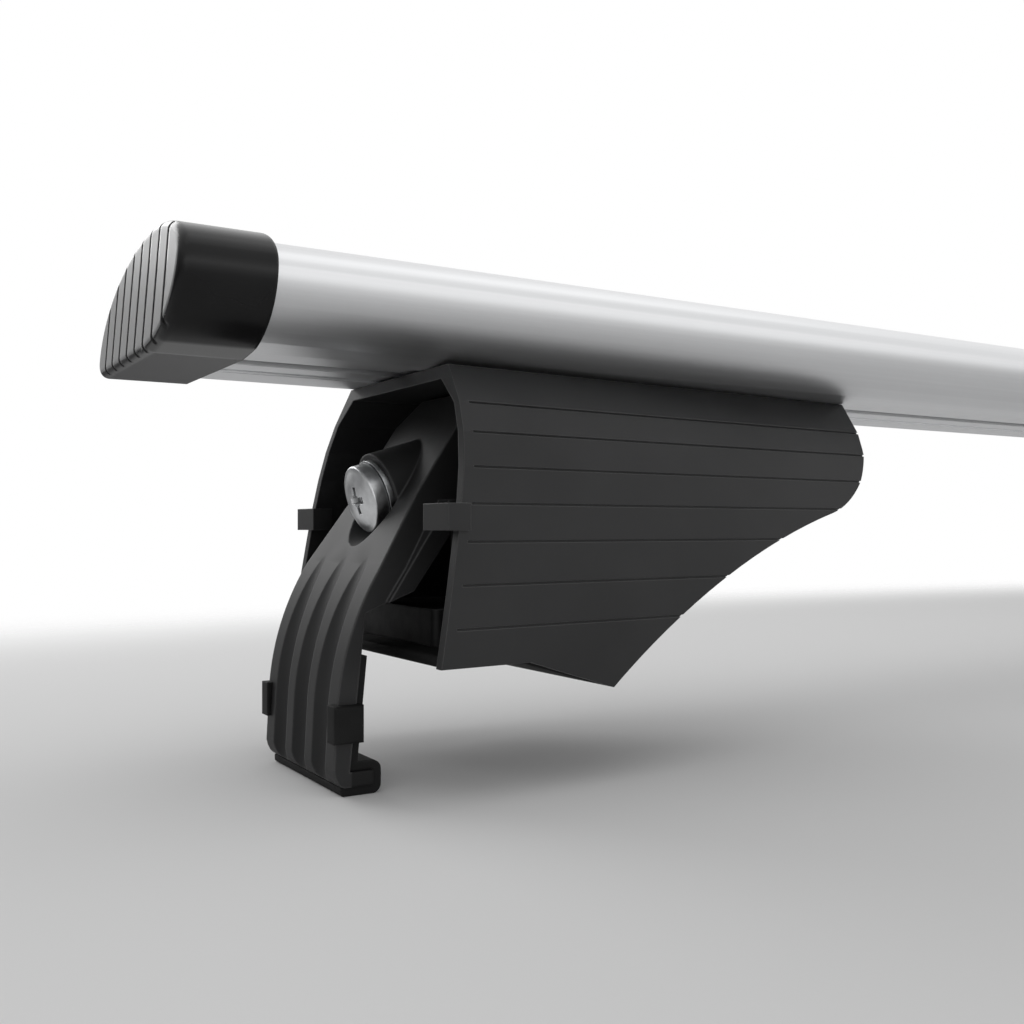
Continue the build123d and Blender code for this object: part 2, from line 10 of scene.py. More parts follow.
import bmesh
import bpy
from bpy.props import FloatProperty, FloatVectorProperty, IntProperty, PointerProperty
from mathutils import Matrix, Vector


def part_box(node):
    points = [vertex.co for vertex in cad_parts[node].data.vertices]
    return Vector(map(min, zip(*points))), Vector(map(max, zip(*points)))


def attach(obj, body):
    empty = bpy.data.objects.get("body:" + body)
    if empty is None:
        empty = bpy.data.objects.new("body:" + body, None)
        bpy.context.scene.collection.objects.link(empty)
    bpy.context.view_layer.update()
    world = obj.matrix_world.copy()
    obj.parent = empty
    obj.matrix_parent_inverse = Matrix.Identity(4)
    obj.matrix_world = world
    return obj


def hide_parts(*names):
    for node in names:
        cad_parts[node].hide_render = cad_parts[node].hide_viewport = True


bl_info = {
    "name": "Roof Rack Looks",
    "version": (1, 0, 0),
    "blender": (4, 5, 0),
    "location": "View3D > Sidebar > Roof Rack",
    "description": "Dresses the solids of a roof-rack crossbar and sets a plain studio round them",
    "category": "Object",
}

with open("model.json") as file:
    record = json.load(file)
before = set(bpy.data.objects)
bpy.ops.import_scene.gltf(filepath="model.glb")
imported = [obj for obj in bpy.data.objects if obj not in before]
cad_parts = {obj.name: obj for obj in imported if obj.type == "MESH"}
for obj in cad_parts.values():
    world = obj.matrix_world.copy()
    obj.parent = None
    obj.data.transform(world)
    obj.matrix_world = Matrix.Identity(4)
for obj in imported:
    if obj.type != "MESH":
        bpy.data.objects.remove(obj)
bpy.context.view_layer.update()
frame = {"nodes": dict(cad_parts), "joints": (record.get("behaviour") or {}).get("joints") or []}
NODES = frame["nodes"]
JOINTS = {joint["name"]: joint for joint in frame["joints"]}
SIDES = ("left", "right")


def millimetres(value):
    """A length in metres, from millimetres."""
    return value / 1000


# Points nearer together than this are one: in solids and threads, in spun heads, in a cut recess.
MERGE = millimetres(0.01)
SPUN_MERGE = millimetres(0.002)
RECESS_MERGE = millimetres(0.04)
# Edges shorter than this are dropped after the recess's cut.
SLIVER = millimetres(0.01)
# How near to a plane a point lies in it: when cutting, when closing the cut, when finding edges.
CUT_NEAR = millimetres(0.001)
RIM_NEAR = millimetres(0.02)
EDGE_NEAR = millimetres(0.05)
# Share of its length that an edge across the strap runs along Y.
ACROSS_SHARE = 0.99
# Faces that meet at less than this are one plane.
FLAT_ANGLE = radians(0.4)
# Edges are sharp where faces meet at more than this: on most new pieces, and on the ribbed claws.
CREASE_ANGLE = radians(28)
CLAW_CREASE_ANGLE = radians(14)
# Steps of a screw head's curves: under it, on its shoulder, over its dome, round its recess's core.
UNDER_STEPS = 4
SHOULDER_STEPS = 5
DOME_STEPS = 14
CORE_STEPS = 30
# How wide the recess's arms are at their floor, as a share of their mouth.
RECESS_TAPER = 0.72
# Shares of a pitch where the thread starts to rise, has its crest, is down again and ends.
THREAD_SHARES = (0.0, 0.42, 0.52, 0.94, 1.0)
# Turns of thread wound beyond the shank's two ends, before these are trimmed.
SPARE_TURNS = 3
# Distance between the turned rings that the screws' plating shows.
RING_SPACING = millimetres(0.35)
# The claw's foot inside its liner: how far out and how far up it goes, and the blur of its edge.
FOOT_REACH = millimetres(552.2)
FOOT_TOP = millimetres(6.7)
FOOT_BLUR = millimetres(0.6)
# Rays for the softened edges and for the painted shade in sheltered corners of a finish.
EDGE_SAMPLES = 6
SHELTER_SAMPLES = 8
# Places of the colours among a Mix node's inputs and outputs.
MIX_LOW, MIX_HIGH, MIX_RESULT = 6, 7, 2
WHITE = (1.0, 1.0, 1.0)
# The picture's side in pixels, and the camera's sensor in millimetres and nearest sight in metres.
IMAGE_SIZE = 1024
SENSOR_WIDTH = 36.0
CLIP_START = 0.01
# The floor's reach and where it fades out, in metres, and what a metre along the bar counts there.
FLOOR_REACH = 4.0
FLOOR_FADE = (0.3, 0.75)
ALONG_SHARE = 0.4
# Strength of the studio's light on matt surfaces, as a share of what glossy surfaces show of it.
MATT_SHARE = 0.65


def length_property(name, description, default):
    """A length, given in millimetres and kept in metres."""
    return FloatProperty(
        name=name,
        description=description,
        default=millimetres(default),
        min=0.0,
        unit="LENGTH",
        precision=5,
    )


def colour_property(name, description, default):
    """A linear colour."""
    return FloatVectorProperty(
        name=name,
        description=description,
        default=default,
        subtype="COLOR",
        size=3,
        min=0.0,
        max=1.0,
    )


def share_property(name, description, default):
    """A number from nothing to one."""
    return FloatProperty(
        name=name,
        description=description,
        default=default,
        min=0.0,
        max=1.0,
        subtype="FACTOR",
    )


def steps_property(name, description, default, low, high):
    """A whole number of steps."""
    return IntProperty(name=name, description=description, default=default, min=low, max=high)


def pixels_property(name, description, default):
    """A length in pixels of the picture."""
    return FloatProperty(name=name, description=description, default=default)


def power_property(name, description, default):
    """The power of a lamp in watts."""
    return FloatProperty(name=name, description=description, default=default, unit="POWER")


class RackFinishes(bpy.types.PropertyGroup):
    """Colours and gloss of the rack's materials."""

    bar_colour: colour_property("Bar", "Anodised aluminium of the bar", (0.74, 0.745, 0.755))
    bar_roughness: share_property("Bar roughness", "How much the satin blurs a reflection", 0.42)
    cap_colour: colour_property("End cap", "Plastic of the end caps", (0.0045, 0.0045, 0.0048))
    # Painted light: the caps' end faces get this lighter grey for the light that they catch.
    painted_end_light_colour: colour_property("Cap ribs", "Matt ribs on the caps' end faces", (0.13, 0.13, 0.132))
    cap_roughness: share_property("Cap roughness", "Gloss of the caps' sleeves", 0.2)
    shell_colour: colour_property("Foot shell", "Plastic of the shells", (0.011, 0.011, 0.0115))
    shell_roughness: share_property("Shell roughness", "Gloss of the foot shells", 0.46)
    claw_colour: colour_property("Claw", "Glass-filled plastic of claws", (0.016, 0.016, 0.0165))
    claw_roughness: share_property("Claw roughness", "Gloss of the claws", 0.52)
    casting_colour: colour_property("Casting", "Black coat of the castings", (0.008, 0.008, 0.0085))
    rubber_colour: colour_property("Rubber", "Rubber of pads and liners", (0.005, 0.005, 0.005))
    zinc_colour: colour_property("Zinc", "Plating of screws, nuts and washers", (0.62, 0.63, 0.64))
    zinc_roughness: share_property("Zinc roughness", "Gloss of the plating", 0.3)
    edge_radius: length_property("Edge radius", "Small radius that every moulded edge shows", 0.45)


class RackScrew(bpy.types.PropertyGroup):
    """Sizes of one clamp screw."""

    thread_diameter: length_property("Thread", "Outer diameter of the rolled thread", 8.0)
    root_diameter: length_property("Root", "Diameter at the bottom of the thread", 6.65)
    pitch: length_property("Pitch", "Advance of the thread in one turn", 1.25)
    seat: length_property("Washer", "Washer between the claw's seat and the head", 1.6)
    length: length_property("Length", "Length under the head", 64.0)
    head_diameter: length_property("Head", "Diameter of the head", 20.0)
    head_rim: length_property("Rim", "Height of the head's straight rim", 4.2)
    head_dome: length_property("Dome", "Rise of the head's dome", 1.6)
    head_round: length_property("Rim round", "Rounding between rim and dome", 0.7)
    recess_span: length_property("Recess span", "Tip to tip across the cross recess", 9.6)
    recess_width: length_property("Recess width", "Width of the recess's arms", 2.3)
    recess_depth: length_property("Recess depth", "Depth of the recess under the crown", 3.0)
    recess_core: length_property("Recess core", "Diameter of the recess's middle", 5.0)
    thread_steps: steps_property("Steps", "Steps in one turn of the thread", 28, 8, 64)
    head_steps: steps_property("Head steps", "Steps round the head", 72, 16, 128)


class RackRounding(bpy.types.PropertyGroup):
    """Rounding of the claws' toes and of the rubber."""

    toe_depth: length_property("Toe depth", "How far the rounding goes in under the ribs", 3.2)
    toe_height: length_property("Toe height", "How far the rounding goes up the ribs", 7.0)
    tip_round: length_property("Tip", "Rounding of the liner's tip", 2.6)
    lip_round: length_property("Lip", "Rounding of the liner's lip under the strap", 1.0)
    tab_round: length_property("Tabs", "Rounding of the outer faces of the liner's two tabs", 0.9)
    pad_round: length_property("Pad", "Rounding of the seat pad's edges", 1.0)
    round_steps: steps_property("Steps", "Steps across each rounding", 5, 2, 12)


class RackStage(bpy.types.PropertyGroup):
    """Camera, floor and lights."""

    camera_place: FloatVectorProperty(
        name="Camera",
        description="Where the camera stands",
        default=(-0.6657, -0.294, 0.071),
        subtype="TRANSLATION",
        unit="LENGTH",
        size=3,
    )
    camera_heading: FloatProperty(
        name="Heading",
        description="Turn of the camera's sight from +X towards +Y",
        default=radians(58.62),
        subtype="ANGLE",
    )
    focal_pixels: pixels_property("Focal length", "Focal length of the camera", 1085.4)
    horizon_pixels: pixels_property("Horizon", "How far the horizon lies under the middle", 16.5)
    floor_colour: colour_property("Floor", "Plain pale floor", (0.72, 0.72, 0.72))
    room_colour: colour_property("Room", "Dim lower part of the studio", (0.12, 0.12, 0.122))
    key_power: power_property("Key light", "Soft panel behind and to the left", 5.0)
    top_power: power_property("Top light", "Soft panel overhead", 2.0)
    strip_power: power_property("Strip light", "Low strip in front", 1.7)


class Value:
    """A socket of a shader. Arithmetic on it adds the Math nodes that work it out."""

    def __init__(self, finish, socket):
        self.finish = finish
        self.socket = socket

    def math(self, operation, first, second):
        """The result of a new Math node."""
        return self.finish.node("ShaderNodeMath", {"operation": operation}, {0: first, 1: second})

    def __add__(self, other):
        return self.math("ADD", self, other)

    __radd__ = __add__

    def __sub__(self, other):
        return self.math("SUBTRACT", self, other)

    def __rsub__(self, other):
        return self.math("SUBTRACT", other, self)

    def __mul__(self, other):
        return self.math("MULTIPLY", self, other)

    __rmul__ = __mul__

    def above(self, low, high):
        """Nothing under low, one over high, and a smooth climb between them."""
        settings = {"interpolation_type": "SMOOTHSTEP"}
        inputs = {"Value": self, "From Min": low, "From Max": high}
        return self.finish.node("ShaderNodeMapRange", settings, inputs)


class Finish:
    """A material or world whose nodes are added one at a time."""

    def __init__(self, owner):
        owner.use_nodes = True
        self.owner = owner
        self.tree = owner.node_tree
        self.tree.nodes.clear()

    def node(self, kind, settings=None, inputs=None, output=0):
        """Add a node, set it up, feed its sockets and give back one of its outputs."""
        made = self.tree.nodes.new(kind)
        for name, setting in (settings or {}).items():
            setattr(made, name, setting)
        for name, fed in (inputs or {}).items():
            if isinstance(fed, Value):
                self.tree.links.new(fed.socket, made.inputs[name])
            else:
                made.inputs[name].default_value = fed
        return Value(self, made.outputs[output]) if len(made.outputs) else None

    def place(self, stretch=(1.0, 1.0, 1.0)):
        """The point on the piece, in metres of the rack's own frame, stretched along its axes."""
        point = self.node("ShaderNodeTexCoord", output="Object")
        return self.node("ShaderNodeMapping", inputs={"Vector": point, "Scale": stretch})

    def noise(self, where, scale, detail=2.0, roughness=0.5):
        """Smooth noise from nothing to one."""
        inputs = {"Vector": where, "Scale": scale, "Detail": detail, "Roughness": roughness}
        return self.node("ShaderNodeTexNoise", inputs=inputs)

    def tint(self, share, low, high):
        """A colour between two, by a share."""
        settings = {"data_type": "RGBA", "clamp_factor": True}
        low, high = (each if isinstance(each, Value) else opaque(each) for each in (low, high))
        inputs = {"Factor": share, MIX_LOW: low, MIX_HIGH: high}
        return self.node("ShaderNodeMix", settings, inputs, output=MIX_RESULT)

    def shades(self, share, colour, dark, light):
        """A colour by a share, from a part of itself to a part of the way to white."""
        return self.tint(share, darker(colour, dark), lighter(colour, light))

    def split(self, vector, axis):
        """One part of a vector."""
        return self.node("ShaderNodeSeparateXYZ", inputs={0: vector}, output=axis)

    def facing_ends(self):
        """One on faces that look along the bar, nothing on those that look across it."""
        along = self.split(self.node("ShaderNodeNewGeometry", output="True Normal"), 0)
        return (along * along).above(0.8, 0.94)

    def in_liner(self, point):
        """One on the claw's foot inside its liner, nothing on the rest of the claw."""
        along, up = self.split(point, 0), self.split(point, 2)
        outside = (along * along).above(FOOT_REACH**2, (FOOT_REACH + FOOT_BLUR) ** 2)
        return (1.0 - outside) * (1.0 - up.above(FOOT_TOP, FOOT_TOP + FOOT_BLUR))

    def shelter(self, reach):
        """One in corners and pits that are narrower than a reach, nothing on open faces: the mask
        of painted shade.
        """
        settings = {"samples": SHELTER_SAMPLES}
        light = self.node("ShaderNodeAmbientOcclusion", settings, {"Distance": reach}, output="AO")
        return 1.0 - light.above(0.3, 0.95)

    def rounded(self, radius):
        """The surface's direction with its edges softened, and where those edges are."""
        soft = self.node("ShaderNodeBevel", {"samples": EDGE_SAMPLES}, {"Radius": radius})
        true = self.node("ShaderNodeNewGeometry", output="True Normal")
        settings = {"operation": "DOT_PRODUCT"}
        along = self.node("ShaderNodeVectorMath", settings, {0: soft, 1: true}, output="Value")
        return soft, (1.0 - along).above(0.004, 0.12)

    def bump(self, height, strength, distance, normal):
        """A direction tilted by a height."""
        inputs = {"Height": height, "Strength": strength, "Distance": distance, "Normal": normal}
        return self.node("ShaderNodeBump", inputs=inputs)

    def surface(self, **sockets):
        """Finish with one principled surface, its sockets named with underscores for spaces."""
        inputs = {name.replace("_", " "): fed for name, fed in sockets.items()}
        shader = self.node("ShaderNodeBsdfPrincipled", inputs=inputs)
        self.node("ShaderNodeOutputMaterial", inputs={"Surface": shader})
        return self.owner


def opaque(colour):
    """A colour with full cover."""
    return (*tuple(colour)[:3], 1.0)


def darker(colour, share):
    """A colour times a share."""
    return tuple(level * share for level in tuple(colour)[:3])


def lighter(colour, share):
    """A colour taken part of the way to white."""
    return tuple(level + (1.0 - level) * share for level in tuple(colour)[:3])


def new_finish(name):
    """A new material to build on."""
    return Finish(bpy.data.materials.new(name))


def satin_aluminium(looks):
    """Extruded and anodised: faint die lines along the bar in a soft satin."""
    finish = new_finish("satin_aluminium")
    lines = finish.noise(finish.place((2.0, 900.0, 900.0)), scale=1.0, detail=3.0)
    broad = finish.noise(finish.place((0.8, 60.0, 60.0)), scale=1.0, detail=2.0)
    grain = finish.noise(finish.place(), scale=2600.0, detail=1.0)
    soft, edge = finish.rounded(looks.edge_radius)
    tone = (lines * 0.5 + broad * 0.5).above(0.25, 0.75)
    height = lines * 0.7 + grain * 0.3
    return finish.surface(
        Base_Color=finish.shades(tone, looks.bar_colour, dark=0.94, light=0.06),
        Metallic=1.0,
        Roughness=looks.bar_roughness - 0.05 + lines * 0.06 + broad * 0.06 - edge * 0.06,
        Normal=finish.bump(height, strength=0.06, distance=millimetres(0.05), normal=soft),
    )


def moulded_plastic(
    name,
    edge_radius,
    colour,
    roughness,
    grain_size,
    grain_depth,
    painted_highlight_share,
    specular,
    painted_end_light_colour=None,
    foot_colour=None,
):
    """Moulded plastic: an even fine grain, slow changes of gloss, edges that catch the light with a
    highlight painted lighter on them, and end faces painted lighter where asked.
    """
    finish = new_finish(name)
    point = finish.place()
    grain = finish.noise(point, scale=1.0 / grain_size, detail=2.0, roughness=0.6)
    cloud = finish.noise(point, scale=22.0, detail=3.0)
    scuff = finish.noise(point, scale=130.0, detail=4.0, roughness=0.7).above(0.6, 0.8)
    soft, edge = finish.rounded(edge_radius)
    # Painted highlight: the edges get a lighter colour, patchy by the cloud, for the light that
    # they catch.
    painted_edge_highlight = edge * (0.35 + cloud * 0.65)
    base = finish.shades(cloud.above(0.3, 0.7), colour, dark=0.88, light=0.006)
    gloss = roughness - 0.05 + cloud * 0.07 + grain * 0.05 + scuff * 0.04 - edge * 0.06
    if painted_end_light_colour is not None:
        # Painted light: faces that look along the bar get the lighter colour, except a rim along
        # their edges that stays dark as painted shade beside the grooves.
        painted_groove_rims = finish.rounded(edge_radius * 2)[1]
        painted_light_ends = finish.facing_ends() * (1.0 - painted_groove_rims)
        base = finish.tint(painted_light_ends, base, painted_end_light_colour)
        gloss = gloss + painted_light_ends * 0.16
    base = finish.tint(painted_edge_highlight * painted_highlight_share, base, lighter(colour, 0.16))
    if foot_colour is not None:
        foot = finish.in_liner(point)
        base = finish.tint(foot, base, foot_colour)
        gloss = gloss + foot * 0.12
    return finish.surface(
        Base_Color=base,
        Roughness=gloss,
        Specular_IOR_Level=specular,
        Normal=finish.bump(grain, strength=0.3, distance=grain_depth, normal=soft),
    )


def coated_casting(looks):
    """Sand-textured casting under a thin black coat."""
    finish = new_finish("coated_casting")
    point = finish.place()
    sand = finish.noise(point, scale=1100.0, detail=4.0, roughness=0.65)
    lumps = finish.noise(point, scale=160.0, detail=3.0)
    soft, edge = finish.rounded(looks.edge_radius * 2)
    base = finish.shades(lumps.above(0.3, 0.7), looks.casting_colour, dark=0.8, light=0.015)
    height = sand * 0.7 + lumps * 0.3
    return finish.surface(
        # Painted highlight: the edges are tinted lighter, patchy by the lumps, for the light that
        # they catch.
        Base_Color=finish.tint(edge * lumps * 0.5, base, lighter(looks.casting_colour, 0.2)),
        Roughness=0.5 + sand * 0.12,
        Specular_IOR_Level=0.25,
        Normal=finish.bump(height, strength=0.5, distance=millimetres(0.12), normal=soft),
    )


def plain_rubber(name, looks):
    """Matt rubber with a fine bloom, a few dusty patches and a highlight painted lighter on its
    edges.
    """
    finish = new_finish(name)
    point = finish.place()
    pores = finish.noise(point, scale=2200.0, detail=3.0, roughness=0.7)
    bloom = finish.noise(point, scale=45.0, detail=4.0)
    soft, edge = finish.rounded(looks.edge_radius * 2)
    # Dusty bloom in patches, plus painted highlight: the edges are tinted lighter for the light
    # that they catch.
    bloom_and_painted_highlight = (bloom.above(0.45, 0.8) * 0.5 + edge * 0.5) * 0.6
    return finish.surface(
        Base_Color=finish.shades(bloom_and_painted_highlight, looks.rubber_colour, dark=0.8, light=0.035),
        Roughness=0.62 + pores * 0.16 + bloom_and_painted_highlight * 0.1,
        Specular_IOR_Level=0.22,
        Normal=finish.bump(pores, strength=0.35, distance=millimetres(0.06), normal=soft),
    )


def zinc_plate(name, looks, turned):
    """Zinc plating: cloudy crystal tone, fine turned rings where the piece has its radius, and
    painted shade in its recesses.
    """
    finish = new_finish(name)
    point = finish.place()
    cloud = finish.noise(point, scale=240.0, detail=4.0, roughness=0.6)
    specks = finish.noise(point, scale=3200.0, detail=2.0)
    soft, edge = finish.rounded(looks.edge_radius * 0.6)
    height = specks * 0.5
    if turned:
        settings = {"attribute_name": "turned_radius"}
        turn = finish.node("ShaderNodeAttribute", settings, output="Fac") * (tau / RING_SPACING)
        rings = finish.node("ShaderNodeMath", {"operation": "SINE"}, {0: turn})
        height = height + rings * 0.5
    plate = finish.shades(cloud.above(0.3, 0.7), looks.zinc_colour, dark=0.84, light=0.1)
    # Painted shade: the plating is darkened in corners and pits narrower than 2 mm, such as the
    # cross recess and the thread roots.
    painted_recess_shade = finish.shelter(millimetres(2.0))
    return finish.surface(
        Base_Color=finish.tint(painted_recess_shade, plate, darker(looks.zinc_colour, 0.3)),
        Metallic=1.0,
        Roughness=looks.zinc_roughness - 0.06 + cloud * 0.16 - edge * 0.05,
        Normal=finish.bump(height, strength=0.14, distance=millimetres(0.03), normal=soft),
    )


def dress(material, names):
    """Give CAD nodes a material in place of their own."""
    for name in names:
        slots = NODES[name].data.materials
        slots.clear()
        slots.append(material)


def both_sides(*pieces):
    """The names of pieces on the left and on the right."""
    return [f"{side}_{piece}" for side in SIDES for piece in pieces]


class RackOperator(bpy.types.Operator):
    """Common ground of the rack's operators."""

    bl_options = {"REGISTER", "UNDO"}


class RACK_OT_crossbar(RackOperator):
    """Give the bar its satin aluminium"""

    bl_idname = "rack.crossbar"
    bl_label = "Crossbar"

    def execute(self, context):
        dress(satin_aluminium(context.scene.rack_finishes), ["crossbar"])
        return {"FINISHED"}


class RACK_OT_end_caps(RackOperator):
    """Give the end caps their glossy moulded plastic"""

    bl_idname = "rack.end_caps"
    bl_label = "End caps"

    def execute(self, context):
        looks = context.scene.rack_finishes
        plastic = moulded_plastic(
            "cap_plastic",
            edge_radius=looks.edge_radius * 2.2,
            colour=looks.cap_colour,
            roughness=looks.cap_roughness,
            grain_size=millimetres(0.45),
            grain_depth=millimetres(0.015),
            painted_highlight_share=0.2,
            specular=0.22,
            # The end faces are painted lighter for the light that they catch.
            painted_end_light_colour=looks.painted_end_light_colour,
        )
        dress(plastic, both_sides("end_cap"))
        return {"FINISHED"}


class RACK_OT_foot_shells(RackOperator):
    """Give the foot shells their grained moulded plastic"""

    bl_idname = "rack.foot_shells"
    bl_label = "Foot shells"

    def execute(self, context):
        looks = context.scene.rack_finishes
        plastic = moulded_plastic(
            "shell_plastic",
            edge_radius=looks.edge_radius,
            colour=looks.shell_colour,
            roughness=looks.shell_roughness,
            grain_size=millimetres(0.6),
            grain_depth=millimetres(0.04),
            painted_highlight_share=0.45,
            specular=0.3,
        )
        dress(plastic, both_sides("foot_shell"))
        return {"FINISHED"}


class RACK_OT_castings(RackOperator):
    """Give the castings inside the feet their black coat"""

    bl_idname = "rack.castings"
    bl_label = "Castings"

    def execute(self, context):
        dress(coated_casting(context.scene.rack_finishes), both_sides("foot_frame"))
        return {"FINISHED"}


class RACK_OT_hardware(RackOperator):
    """Give the nuts, washers and slot bolts their zinc plating"""

    bl_idname = "rack.hardware"
    bl_label = "Nuts, washers and slot bolts"

    def execute(self, context):
        plate = zinc_plate("zinc_hardware", context.scene.rack_finishes, turned=False)
        pieces = ("clamp_nut", "clamp_washer", "slot_bolt", "slot_washer", "slot_nut")
        dress(plate, both_sides(*pieces))
        return {"FINISHED"}


def from_axis(vert):
    """How far a point lies from the Z axis."""
    return sqrt(vert.co.x**2 + vert.co.y**2)


def trim(mesh, point, normal):
    """Cut off what lies beyond a plane with a unit normal, and close the cut."""
    bmesh.ops.bisect_plane(
        mesh,
        geom=list(mesh.verts) + list(mesh.edges) + list(mesh.faces),
        dist=CUT_NEAR,
        plane_co=point,
        plane_no=normal,
        clear_outer=True,
    )
    rim = [edge for edge in mesh.edges if edge.is_boundary]
    rim = [
        edge
        for edge in rim
        if all(abs((vert.co - point).dot(normal)) < RIM_NEAR for vert in edge.verts)
    ]
    bmesh.ops.holes_fill(mesh, edges=rim, sides=0)


def split_large_faces(mesh):
    """Make triangles of the faces with more than four corners."""
    bmesh.ops.triangulate(mesh, faces=[face for face in mesh.faces if len(face.verts) > 4])


def revolve(mesh, outline, steps):
    """Spin an outline of radius and height once round Z, from pole to pole."""
    points = [mesh.verts.new((radius, 0.0, height)) for radius, height in outline]
    edges = [mesh.edges.new(pair) for pair in zip(points, points[1:])]
    bmesh.ops.spin(
        mesh,
        geom=points + edges,
        cent=(0.0, 0.0, 0.0),
        axis=(0.0, 0.0, 1.0),
        dvec=(0.0, 0.0, 0.0),
        angle=tau,
        steps=steps,
        use_merge=True,
    )
    bmesh.ops.remove_doubles(mesh, verts=mesh.verts, dist=SPUN_MERGE)


def arc(centre, radius, start, end, count):
    """Points of radius and height along a round corner, both ends included."""
    turns = [start + (end - start) * step / count for step in range(count + 1)]
    return [(centre[0] + radius * cos(turn), centre[1] + radius * sin(turn)) for turn in turns]


def screw_head(size):
    """The domed head: flat underneath, a straight rim, a rounded shoulder and a shallow dome."""
    mesh = bmesh.new()
    half = size.head_diameter / 2
    small_round = size.head_round / 2
    under = -size.seat
    shoulder = under - size.head_rim
    dome_radius = (half**2 + size.head_dome**2) / (2 * size.head_dome)
    crown = shoulder - size.head_dome
    outline = [(0.0, under)]
    corner = (half - small_round, under - small_round)
    outline += arc(corner, small_round, pi / 2, 0.0, UNDER_STEPS)
    corner = (half - size.head_round, shoulder + small_round)
    outline += arc(corner, size.head_round, 0.0, -pi / 3, SHOULDER_STEPS)
    last = outline[-1][0]
    for step in range(1, DOME_STEPS + 1):
        radius = last * (1 - step / DOME_STEPS)
        outline.append((radius, crown + dome_radius - sqrt(dome_radius**2 - radius**2)))
    revolve(mesh, outline, size.head_steps)
    bmesh.ops.recalc_face_normals(mesh, faces=mesh.faces)
    return mesh


def tapered_block(mesh, width, depth, top, bottom, narrowing):
    """A block between two heights whose upper end is narrowed."""
    made = bmesh.ops.create_cube(mesh, size=1.0)["verts"]
    bmesh.ops.scale(mesh, vec=(width, depth, top - bottom), verts=made)
    bmesh.ops.translate(mesh, vec=(0.0, 0.0, (top + bottom) / 2), verts=made)
    upper = [vert for vert in made if vert.co.z > (top + bottom) / 2]
    bmesh.ops.scale(mesh, vec=(narrowing, narrowing, 1.0), verts=upper)


def recess_cutters(size):
    """The three tapered cutters of the cross recess, each in a mesh of its own."""
    crown = -size.seat - size.head_rim - size.head_dome
    floor = crown + size.recess_depth
    mouth = crown - size.head_dome
    arm_floor = floor - size.recess_depth / 4
    span, width = size.recess_span, size.recess_width
    cutters = []
    for across, along in ((span, width), (width, span)):
        cutters.append(bmesh.new())
        tapered_block(cutters[-1], across, along, arm_floor, mouth, RECESS_TAPER)
    cutters.append(bmesh.new())
    made = bmesh.ops.create_cone(
        cutters[-1],
        cap_ends=True,
        segments=CORE_STEPS,
        radius1=size.recess_core / 2,
        radius2=size.recess_core / 4,
        depth=floor - mouth,
    )
    bmesh.ops.translate(cutters[-1], vec=(0.0, 0.0, (floor + mouth) / 2), verts=made["verts"])
    return cutters


def scratch_object(name, mesh):
    """An object for a bmesh, linked to the scene so that modifiers can use it."""
    data = bpy.data.meshes.new(name)
    mesh.to_mesh(data)
    mesh.free()
    made = bpy.data.objects.new(name, data)
    bpy.context.scene.collection.objects.link(made)
    return made


def cut(mesh, cutters):
    """A bmesh with others taken out of it, in a new bmesh without slivers."""
    body = scratch_object("cut_body", mesh)
    tools = [scratch_object("cut_tool", cutter) for cutter in cutters]
    for tool in tools:
        modifier = body.modifiers.new("cut", "BOOLEAN")
        modifier.operation = "DIFFERENCE"
        modifier.solver = "MANIFOLD"
        modifier.object = tool
    depsgraph = bpy.context.evaluated_depsgraph_get()
    result = bmesh.new()
    result.from_object(body, depsgraph)
    for made in (body, *tools):
        data = made.data
        bpy.data.objects.remove(made)
        bpy.data.meshes.remove(data)
    if not result.faces:
        raise RuntimeError("the screw head's recess could not be cut")
    bmesh.ops.remove_doubles(result, verts=result.verts, dist=RECESS_MERGE)
    bmesh.ops.dissolve_degenerate(result, edges=result.edges, dist=SLIVER)
    split_large_faces(result)
    return result


def screw_thread(size):
    """A rolled thread: one pitch of its outline, wound up the shank and trimmed at both ends."""
    mesh = bmesh.new()
    crest, root, pitch = size.thread_diameter / 2, size.root_diameter / 2, size.pitch
    start = -size.seat - size.head_round
    tip = size.length - size.seat
    heights = [start + (share - 1.0) * pitch for share in THREAD_SHARES]
    outline = zip((root, crest, crest, root, root), heights)
    points = [mesh.verts.new((radius, 0.0, height)) for radius, height in outline]
    edges = [mesh.edges.new(pair) for pair in zip(points, points[1:])]
    turns = int((tip - start) / pitch) + SPARE_TURNS
    bmesh.ops.spin(
        mesh,
        geom=points + edges,
        cent=(0.0, 0.0, 0.0),
        axis=(0.0, 0.0, 1.0),
        dvec=(0.0, 0.0, pitch / size.thread_steps),
        angle=tau * turns,
        steps=size.thread_steps * turns,
        use_merge=False,
    )
    bmesh.ops.remove_doubles(mesh, verts=mesh.verts, dist=MERGE)
    for height, outward in ((start, -1.0), (tip, 1.0)):
        trim(mesh, Vector((0.0, 0.0, height)), Vector((0.0, 0.0, outward)))
    for vert in mesh.verts:
        reach = from_axis(vert)
        allowed = root - pitch / 3 + max(0.0, tip - vert.co.z)
        if reach > allowed:
            vert.co.x *= allowed / reach
            vert.co.y *= allowed / reach
    bmesh.ops.recalc_face_normals(mesh, faces=mesh.faces)
    return mesh


def screw_frame(side):
    """Where a clamp screw stands: its seat, with Z along the shank."""
    joint = JOINTS[f"{side}_bolt_turn"]
    inward = -Vector(joint["axis"]).normalized()
    across = Vector((0.0, 1.0, 0.0))
    rows = Matrix((across.cross(inward), across, inward)).transposed().to_4x4()
    return Matrix.Translation(joint["pos_m"]) @ rows


def merged_copy(node):
    """A solid's triangles, merged to a closed mesh."""
    mesh = bmesh.new()
    mesh.from_mesh(NODES[node].data)
    bmesh.ops.remove_doubles(mesh, verts=mesh.verts, dist=MERGE)
    return mesh


